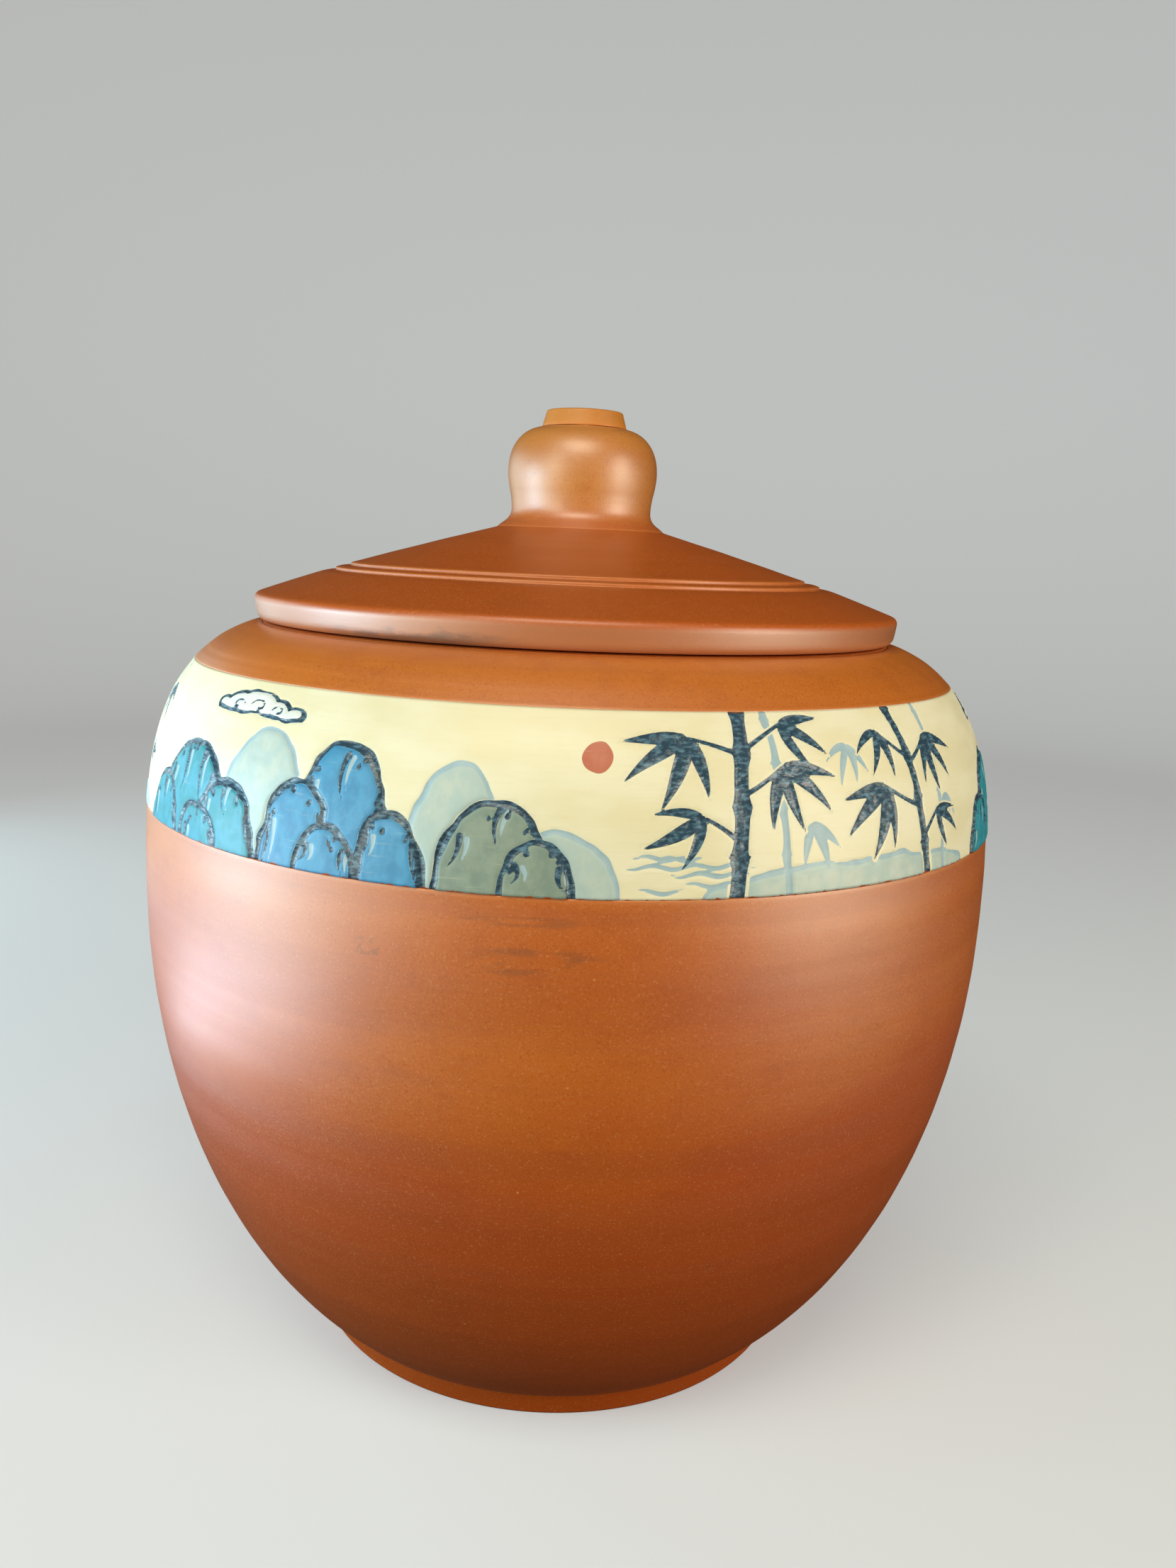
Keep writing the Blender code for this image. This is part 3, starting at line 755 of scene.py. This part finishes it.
def group_of(drawing, number, start_azimuth, face):
    """Draws one group: three hills, far hills behind them, a cloud, a sun over water, and bamboo."""
    draws = np.random.default_rng(40 + number)
    near = drawing.blank()
    places = {}
    for name in HILL_SEEDS:
        centre, half_width, _, top = place_of(f"{name}_hill_{number}", drawing, start_azimuth, face)
        places[name] = (centre, half_width, top)
        near = hill_group(drawing, name, places[name], near, draws)
    for name, aside, breadth, rise, lean in FAR_HILLS:
        centre, half_width, _ = places[name]
        distance = drawing.hill(centre + aside * half_width, breadth, drawing.height * rise, lean)
        shown = -near - FAR_MARGIN
        drawing.merge("far", distance, shown)
        drawing.contour("pale", distance, 0.75, 0.30, 50 + number, shown)
        near = np.maximum(near, distance)
    centre, half_width, low, high = place_of(f"white_cloud_{number}", drawing, start_azimuth, face)
    cloud(drawing, centre, half_width, (low + high) / 2.0, (high - low) * 0.62)
    centre, half_width, _ = places["grey_green"]
    right = centre + half_width
    sun_up = drawing.loose_up - drawing.height * SUN_RISE
    sun = SUN_RADIUS - np.hypot(drawing.loose_across - right - SUN_ASIDE, sun_up)
    drawing.merge("red", sun)
    ripples(drawing, right + WATER_FROM, right + WATER_TO, draws)
    bamboo(drawing, right, draws)


def band_levels(drawing):
    """How far the band's skin lies above the slip's own face, in millimetres."""
    level = np.zeros(drawing.across.shape)
    for name, relief in RELIEFS.items():
        level = np.maximum(level, relief * ease(drawing.layers[name], *RELIEF_SHOULDER))
    level += PAINT_UNEVEN * drawing.noise(2.2, 61) * (level > PAINT_UNEVEN)
    ink = ease(drawing.layers["ink"], *GROOVE_WALL)
    level -= ink * (INK_DEPTH + CHISEL_MARKS * drawing.noise(1.5, 62))
    level -= PALE_DEPTH * ease(drawing.layers["pale"], *GROOVE_WALL)
    from_edge = np.minimum(drawing.up, drawing.height - drawing.up)
    return level - EDGE_DIP * (1.0 - ease(from_edge / EDGE_DIP_WIDTH))


def band_mesh():
    """The band as one closed skin, with the hills laid on it and the strokes cut into it."""
    rough_curve, rough_normal, _ = soften(band_face(), False, 0.0)
    travelled = travel(rough_curve)
    even = np.linspace(0.0, travelled[-1], BAND_ROWS + 1)
    curve, normal = (
        np.stack([np.interp(even, travelled, values[:, axis]) for axis in (RADIUS, HEIGHT)], axis=1)
        for values in (rough_curve, rough_normal)
    )
    start_azimuth = node_points("turquoise_hill_1")[1].min() - PLAIN_MARGIN
    length = math.tau * curve[:, RADIUS].mean() / MM
    drawing = Drawing(BAND_COLUMNS, BAND_ROWS, length, travelled[-1] / MM)
    for number in GROUPS:
        group_of(drawing, number, start_azimuth, curve)

    azimuths = np.radians(start_azimuth) + np.arange(BAND_COLUMNS) * math.tau / BAND_COLUMNS
    back = np.full((BAND_COLUMNS, 2), -BAND_BACK)
    lifts = np.concatenate((band_levels(drawing), back), axis=1) * MM
    order = [*range(BAND_ROWS + 1), BAND_ROWS, 0]
    vertices = skin(curve[order], normal[order], azimuths, lifts)
    made = mesh_object("slip_band", vertices, quads(BAND_COLUMNS, len(order), True))
    for name, values in (*drawing.layers.items(), ("across", drawing.across), ("up", drawing.up)):
        add_value(made, name, values[:, order])
    return made


# Materials


class Finish:
    """A material, with short ways to add nodes to it."""

    def __init__(self, name):
        self.material = bpy.data.materials.new(name)
        self.material.use_nodes = True
        self.tree = self.material.node_tree
        self.shader = self.tree.nodes["Principled BSDF"]
        self.place = self.node("ShaderNodeTexCoord").outputs["Object"]

    def node(self, kind, sockets=None, **settings):
        made = self.tree.nodes.new(kind)
        for name, value in settings.items():
            setattr(made, name, value)
        self.fill(made, sockets or {})
        return made

    def fill(self, node, sockets):
        """Links outputs to a node's sockets, given by name or number, or sets plain values on them."""
        for name, value in sockets.items():
            socket = node.inputs[name]
            if isinstance(value, bpy.types.NodeSocket):
                self.tree.links.new(value, socket)
            elif socket.type == "RGBA":
                socket.default_value = (*value, 1.0)
            else:
                socket.default_value = value

    def scaled(self, place, sizes, centre=(0.0, 0.0, 0.0)):
        """A place measured from a centre in units of the three sizes."""
        scale = [1.0 / size for size in sizes]
        location = [-at / size for at, size in zip(centre, sizes)]
        sockets = {"Vector": place, "Scale": scale, "Location": location}
        return self.node("ShaderNodeMapping", sockets).outputs["Vector"]

    def away(self, centre, sizes):
        """Distance from a centre in units of the three sizes."""
        sockets = {0: self.scaled(self.place, sizes, centre)}
        return self.node("ShaderNodeVectorMath", sockets, operation="LENGTH").outputs["Value"]

    def height(self):
        return self.node("ShaderNodeSeparateXYZ", {0: self.place}).outputs["Z"]

    def noise(self, place, sizes, detail=2.0, roughness=0.5):
        vector = self.scaled(place, sizes)
        sockets = {"Vector": vector, "Scale": 1.0, "Detail": detail, "Roughness": roughness}
        return self.node("ShaderNodeTexNoise", sockets).outputs["Fac"]

    def specks(self, spacing, share):
        """1 in small round specks, scattered about a spacing apart, and 0 between them."""
        sockets = {"Vector": self.scaled(self.place, (spacing,) * 3), "Scale": 1.0}
        texture = self.node("ShaderNodeTexVoronoi", sockets)
        return self.ranged(texture.outputs["Distance"], share, share * 0.6)

    def ranged(self, value, low, high, start=0.0, end=1.0):
        """Takes a value from the range low to high into start to end, smoothly and no further."""
        sockets = {"Value": value, "From Min": low, "From Max": high, "To Min": start, "To Max": end}
        ranging = self.node("ShaderNodeMapRange", sockets, interpolation_type="SMOOTHSTEP")
        return ranging.outputs["Result"]

    def combine(self, operation, first, second=0.0):
        return self.node("ShaderNodeMath", {0: first, 1: second}, operation=operation).outputs[0]

    def mix(self, share, first, second):
        sockets = {0: share, MIX_FIRST: first, MIX_SECOND: second}
        return self.node("ShaderNodeMix", sockets, data_type="RGBA").outputs[MIX_RESULT]

    def attribute(self, name):
        return self.node("ShaderNodeAttribute", attribute_name=name).outputs["Fac"]

    def bump(self, height, strength, distance, below=None):
        sockets = {"Height": height, "Strength": strength, "Distance": distance}
        if below is not None:
            sockets["Normal"] = below
        return self.node("ShaderNodeBump", sockets).outputs["Normal"]

    def finish(self, colour, roughness, normal, specular):
        sockets = {"Base Color": colour, "Roughness": roughness, "Normal": normal}
        self.fill(self.shader, {**sockets, "Specular IOR Level": specular})
        return self.material


def clay(name, low, high, roughness, polish, marks=(), heights=(0.0, 1.0), rim=None):
    """Fine unglazed clay: warm drifts of colour, level tool streaks, a sandy grain, and lighter edges that
    are partly worn and partly a painted highlight.

    The clay has the low colour up to the first height and the high colour from the second one up. On
    the wall the low colour is painted shade and the high one painted light.
    Below the height of a rim it is burnished smoother.
    """
    work = Finish(name)
    drift = work.noise(work.place, (0.11, 0.11, 0.07), 3.0)
    broad_streak = work.noise(work.place, (0.70, 0.70, 0.020), 1.0)
    streak = work.noise(work.place, (0.30, 0.30, 0.0065), 3.0, 0.6)
    fine_streak = work.noise(work.place, (0.20, 0.20, 0.0014), 2.0)
    blotch = work.noise(work.place, (0.012, 0.012, 0.009), 4.0, 0.6)
    grain = work.noise(work.place, (0.00065,) * 3, 2.0, 0.6)
    reach = 0.2 * (heights[1] - heights[0])
    level = work.combine("ADD", work.height(), work.ranged(drift, 0.3, 0.7, -reach, reach))
    colour = work.mix(work.ranged(level, *heights), low, high)
    shaded = tuple(channel * STREAK_SHADE for channel in low)
    layers = (
        (broad_streak, 0.45, 0.62, 0.26, shaded),
        (streak, 0.48, 0.70, 0.20, shaded),
        (blotch, 0.45, 0.75, 0.22, shaded),
        (fine_streak, 0.50, 0.75, 0.07, shaded),
        (grain, 0.58, 0.72, 0.34, CLAY_PALE),
        (grain, 0.43, 0.29, 0.46, shaded),
    )
    for texture, start, full, share, tint in layers:
        colour = work.mix(work.ranged(texture, start, full, 0.0, share), colour, tint)
    for spacing, share, strength, tint in SPECKS:
        specks = work.combine("MULTIPLY", work.specks(spacing, share), strength)
        colour = work.mix(specks, colour, tint)
    # Edges painted lighter, partly for wear and partly as a painted highlight
    ragged = work.ranged(blotch, 0.30, 0.60, 0.25, 0.60)
    colour = work.mix(work.combine("MULTIPLY", work.attribute("worn_and_lit_edges"), ragged), colour, WORN_LIT_CLAY)
    for mark in marks:
        colour = mark(work, colour)
    shine = work.ranged(streak, 0.30, 0.70, roughness - 0.04, roughness + 0.05)
    shine = work.combine("ADD", shine, work.ranged(grain, 0.30, 0.70, -0.04, 0.06))
    coat = {"Coat Weight": polish, "Coat Roughness": roughness + 0.04, "Coat IOR": COAT_IOR}
    work.fill(work.shader, coat)
    if rim is not None:
        below_rim = work.ranged(work.height(), rim + RIM_BLUR, rim - RIM_BLUR)
        shine = work.combine("SUBTRACT", shine, work.combine("MULTIPLY", below_rim, RIM_RUBBED))
        work.fill(work.shader, {"Coat Weight": work.ranged(below_rim, 0.0, 1.0, polish, 1.0)})
    normal = work.bump(grain, 0.30, 0.00012)
    normal = work.bump(fine_streak, 0.18, 0.00010, normal)
    return work.finish(colour, shine, normal, 0.3 + 0.5 * polish)


def smear(centre, sizes, grain_sizes, strength):
    """A mark for a clay: a faint, broken ring, as something rubbed on the side of the piece leaves."""

    def add(work, colour):
        ragged = work.noise(work.place, grain_sizes, 3.0, 0.6)
        off_ring = work.combine("ABSOLUTE", work.combine("SUBTRACT", work.away(centre, sizes), 0.60))
        ring = work.ranged(off_ring, 0.40, 0.05)
        inside = work.combine("MULTIPLY", ring, work.ranged(ragged, 0.42, 0.62))
        return work.mix(work.combine("MULTIPLY", inside, strength), colour, CLAY_SMUDGE)

    return add


def rim_painted_sheen(top):
    """A mark for a clay: painted sheen, the lid's edge painted paler than its slope where it catches the
    light.
    """

    def add(work, colour):
        below_rim = work.ranged(work.height(), top + 0.0012, top - 0.0008, 0.0, 0.75)
        return work.mix(below_rim, colour, RIM_SHEEN_COLOUR)

    return add


def rim_dark_band(bottom, radius):
    """A mark for a clay: a dark, ragged band along the bottom of the lid's rim, darkest at its bottom."""
    centre = azimuth_point(RIM_DARK_AZIMUTH, radius, bottom)

    def add(work, colour):
        ragged = work.noise(work.place, (0.009, 0.009, 0.004), 4.0, 0.6)
        level = work.combine("ADD", work.height(), work.ranged(ragged, 0.3, 0.7, -0.0016, 0.0016))
        low = work.ranged(level, bottom + RIM_DARK_HEIGHT, bottom + 0.0012)
        close = work.ranged(work.away(centre, (0.040,) * 3), 1.0, 0.25)
        inside = work.combine("MULTIPLY", low, close)
        return work.mix(work.combine("MULTIPLY", inside, 0.72), colour, CLAY_DARK)

    return add


def slip_finish():
    """Pale slip, the painted fills, and the dark strokes that are cut through them."""
    work = Finish("painted_slip")
    sockets = {"X": work.attribute("across"), "Y": work.attribute("up")}
    flat = work.node("ShaderNodeCombineXYZ", sockets).outputs["Vector"]
    cloudy = work.noise(flat, (26.0, 13.0, 1.0), 3.0)
    brush = work.noise(flat, (16.0, 1.1, 1.0), 3.0, 0.6)
    wash = work.noise(flat, (4.5, 6.5, 1.0), 4.0, 0.6)
    dapple = work.noise(flat, (2.6, 1.3, 1.0), 2.0, 0.55)
    grain = work.noise(work.place, (0.0005,) * 3, 2.0, 0.6)
    colour = work.mix(work.ranged(cloudy, 0.35, 0.65), CREAM, CREAM_LIGHT)
    colour = work.mix(work.ranged(brush, 0.50, 0.78, 0.0, 0.22), colour, CREAM_DARK)
    colour = work.mix(work.ranged(grain, 0.60, 0.76, 0.0, 0.18), colour, CREAM_DARK)
    smudge = work.ranged(work.attribute("ink"), -2.2, 0.2, 0.0, 0.14)
    smudge = work.combine("MULTIPLY", smudge, work.ranged(dapple, 0.4, 0.7))
    colour = work.mix(smudge, colour, INK_SMUDGE)
    for name, (thin, deep) in PAINTS.items():
        distance = work.attribute(name)
        washed = work.mix(work.ranged(wash, 0.38, 0.64, 0.0, 0.7), thin, deep)
        washed = work.mix(work.ranged(distance, 5.0, 0.4, 0.0, 0.65), washed, deep)
        washed = work.mix(work.ranged(brush, 0.60, 0.80, 0.0, 0.24), washed, CREAM_LIGHT)
        colour = work.mix(work.ranged(distance, -0.08, 0.08), colour, washed)
    inked = work.ranged(work.attribute("ink"), -0.09, 0.09)
    # Lighter flecks in the strokes are painted glints of the chisel facets
    ink = work.mix(work.ranged(dapple, 0.42, 0.72), INK, INK_GLINT)
    colour = work.mix(inked, colour, ink)
    lower_edge = work.combine("SUBTRACT", work.attribute("up"), work.ranged(wash, 0.45, 0.75, 0.0, 0.7))
    colour = work.mix(work.ranged(lower_edge, 0.16, -0.10), colour, CLAY)
    shine = work.ranged(cloudy, 0.3, 0.7, 0.40, 0.50)
    shine = work.combine("SUBTRACT", shine, work.combine("MULTIPLY", inked, 0.16))
    normal = work.bump(grain, 0.12, 0.00008)
    normal = work.bump(brush, 0.12, 0.00010, normal)
    normal = work.bump(work.combine("MULTIPLY", dapple, inked), 0.55, 0.00045, normal)
    return work.finish(colour, shine, normal, 0.45)


def studio_matt():
    """Matt surface that the camera sees pale and that sends less light back on to the jar."""
    work = Finish("studio_matt")
    seen = work.node("ShaderNodeLightPath").outputs["Is Camera Ray"]
    matt = work.node("ShaderNodeBsdfDiffuse", {"Color": work.mix(seen, FLOOR_BOUNCE, FLOOR_SEEN)})
    glowing = work.node("ShaderNodeEmission", {"Color": FLOOR_GLOW, "Strength": seen})
    both = work.node("ShaderNodeAddShader", {0: matt.outputs["BSDF"], 1: glowing.outputs["Emission"]})
    work.fill(work.tree.nodes["Material Output"], {"Surface": both.outputs["Shader"]})
    work.tree.nodes.remove(work.shader)
    return work.material


# The jar


def dress(piece, body, slot, material, *nodes):
    piece.data.materials.append(material)
    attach(piece, body)
    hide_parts(*nodes)


def turned_piece(name, node, body, slot, material, out=0.0, up=0.0, down=0.0, droop=0.0, **settings):
    """Turns a node's outline afresh, as a finer piece that stands for the node.

    Its outermost points may move out or droop, its highest up and its lowest down, to close the gaps
    to the pieces beside it.
    """
    points, closed = outline(node)
    outermost = points[:, RADIUS] > points[:, RADIUS].max() - NEAR
    highest = points[:, HEIGHT] > points[:, HEIGHT].max() - NEAR
    lowest = points[:, HEIGHT] < points[:, HEIGHT].min() + NEAR
    points[outermost] += (out, -droop)
    points[highest, HEIGHT] += up
    points[lowest, HEIGHT] -= down
    dress(turned(name, points, closed, **settings), body, slot, material, node)


def scribed_line(curve, azimuths):
    """Depth of the line scratched round part of the shoulder."""
    band_top = band_face()[-1]
    away = lengths(curve - band_top)
    on_shoulder = (curve[:, HEIGHT] > band_top[HEIGHT]) & (curve[:, RADIUS] < band_top[RADIUS])
    across = np.exp(-(((away - SCRIBED_DISTANCE) / SCRIBED_HALF_WIDTH) ** 2)) * on_shoulder
    degrees = (np.degrees(azimuths) + 180.0) % 360.0 - 180.0
    strength = ease(1.5 - np.abs(degrees - SCRIBED_MIDDLE) / SCRIBED_REACH)
    return -SCRIBED_DEPTH * strength[:, None] * across[None, :]


def make_jar():
    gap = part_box("jar_body")[0].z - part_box("foot_ring")[1].z
    belly_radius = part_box("jar_body")[1].x
    band_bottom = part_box("cream_band")[0].z
    marks = [
        smear(azimuth_point(azimuth, belly_radius, band_bottom - depth), *look)
        for azimuth, depth, *look in SMEARS
    ]
    # The wall goes from painted shade low down to painted light high up
    body_clay = clay("orange_clay", CLAY_SHADED_RED, CLAY_LIT_GOLD, 0.42, 0.8, marks, SHADE_TO_LIGHT_HEIGHTS)
    raw_clay = clay("raw_clay", CLAY, CLAY, 0.60, 0.0)
    # The foot has the wall's red, painted shade, all over
    foot_clay = clay("foot_clay", CLAY_SHADED_RED, CLAY_SHADED_RED, 0.52, 0.2)

    turned_piece("clay_wall", "jar_body", "jar", "clay", body_clay, extra=scribed_line)
    turned_piece("clay_floor", "base_disc", "jar", "raw_clay", raw_clay, out=gap)
    turned_piece("clay_foot", "foot_ring", "jar", "raw_clay", foot_clay, up=gap, corner_round=FOOT_ROUND)
    turned_piece("clay_mouth", "mouth_ring", "jar", "raw_clay", raw_clay, out=gap, down=gap)

    names = ("turquoise_hill", "blue_hill", "grey_green_hill", "white_cloud")
    fills = [f"{name}_{number}" for name in names for number in GROUPS]
    dress(band_mesh(), "jar", "cream_slip", slip_finish(), "cream_band", *fills)


def make_lid():
    low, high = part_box("lid_plate")
    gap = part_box("knob_collar")[0].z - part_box("knob")[1].z
    rim_top = low.z + RIM_HEIGHT
    # Marks on the lid: painted sheen on its rim, and a dark band along the rim's bottom
    marks = (rim_painted_sheen(rim_top), rim_dark_band(low.z, high.x))
    fading = [high.z + rise for rise in KNOB_FADE]
    lid_clay = clay("lid_clay", LID_CLAY, LID_CLAY, 0.44, 0.5, marks, rim=rim_top)
    # The knob and its collar take a gold that is partly their own clay and partly painted light
    knob_clay = clay("knob_clay", LID_CLAY, KNOB_LIT_CLAY, 0.44, 1.0, heights=fading)
    collar_clay = clay("collar_clay", KNOB_LIT_CLAY, KNOB_LIT_CLAY, 0.50, 0.2)
    raw_clay = clay("raw_lid_clay", CLAY, CLAY, 0.60, 0.0)

    turned_piece("clay_lid", "lid_plate", "lid", "clay", lid_clay)
    turned_piece("clay_flange", "lid_flange", "lid", "raw_clay", raw_clay, up=gap)
    turned_piece("clay_knob", "knob", "lid", "clay", knob_clay, droop=FLARE_DROP, segments=KNOB_SEGMENTS)
    turned_piece("clay_collar", "knob_collar", "lid", "clay", collar_clay, down=gap, segments=KNOB_SEGMENTS)


# The studio


def make_floor():
    """A round floor that curves up into a wall all the way round."""
    rings = [(radius, 0.0) for radius in FLOOR_RINGS]
    for step in range(COVE_STEPS + 1):
        angle = math.radians(90.0 * step / COVE_STEPS)
        rings.append((FLOOR_RADIUS + COVE_RADIUS * math.sin(angle), COVE_RADIUS * (1.0 - math.cos(angle))))
    rings.append((FLOOR_RADIUS + COVE_RADIUS, WALL_TOP))
    turns = [360.0 * column / FLOOR_SEGMENTS for column in range(FLOOR_SEGMENTS)]
    vertices = [tuple(azimuth_point(turn, *ring)) for turn in turns for ring in rings]
    faces = [face[::-1] for face in quads(FLOOR_SEGMENTS, len(rings), False)]
    middle = len(vertices)
    vertices.append((0.0, 0.0, 0.0))
    for column in range(FLOOR_SEGMENTS):
        faces.append((middle, column * len(rings), (column + 1) % FLOOR_SEGMENTS * len(rings)))
    floor = mesh_object("studio_floor", vertices, faces)
    floor.data.materials.append(studio_matt())


def area_light(name, size, power, colour):
    data = bpy.data.lights.new(name, "AREA")
    data.shape = "RECTANGLE"
    data.size, data.size_y = size
    data.energy = power
    data.color = colour
    light = add_object(name, data)
    light.visible_camera = False
    return light


def make_lights():
    """Softboxes round the jar that face it, cards that shine up on its sides, and the air's own light."""
    for name, azimuth, elevation, distance, *look in SOFTBOXES:
        light = area_light(name, *look)
        raised = math.radians(elevation)
        away = azimuth_point(azimuth, distance * math.cos(raised), distance * math.sin(raised))
        light.location = LIGHT_AIM + away
        light.rotation_euler = (LIGHT_AIM - light.location).to_track_quat("-Z", "Y").to_euler()
    for name, middle, *look in FLOOR_CARDS:
        card = area_light(name, *look)
        card.location = (*middle, CARD_HEIGHT)
        card.rotation_euler = (math.pi, 0.0, 0.0)
    world = bpy.data.worlds.new("studio_air")
    world.use_nodes = True
    background = world.node_tree.nodes["Background"]
    background.inputs["Color"].default_value = AIR_COLOUR
    background.inputs["Strength"].default_value = AIR_STRENGTH
    bpy.context.scene.world = world


def make_camera():
    pitch, yaw, roll = CAMERA_TURN
    ahead = Vector((math.sin(yaw) * math.cos(pitch), math.cos(yaw) * math.cos(pitch), -math.sin(pitch)))
    level = Vector((math.cos(yaw), -math.sin(yaw), 0.0))
    upright = level.cross(ahead)
    right = math.cos(roll) * level + math.sin(roll) * upright
    up = math.cos(roll) * upright - math.sin(roll) * level
    data = bpy.data.cameras.new("photo_camera")
    data.lens = CAMERA_LENS
    data.sensor_width = CAMERA_SENSOR
    camera = add_object("photo_camera", data)
    turned_to = Matrix((right, up, -ahead)).transposed().to_4x4()
    camera.matrix_world = Matrix.Translation(CAMERA_PLACE) @ turned_to
    bpy.context.scene.camera = camera


make_camera()
make_jar()
make_lid()
make_floor()
make_lights()
bpy.context.scene.view_settings.view_transform = "Standard"
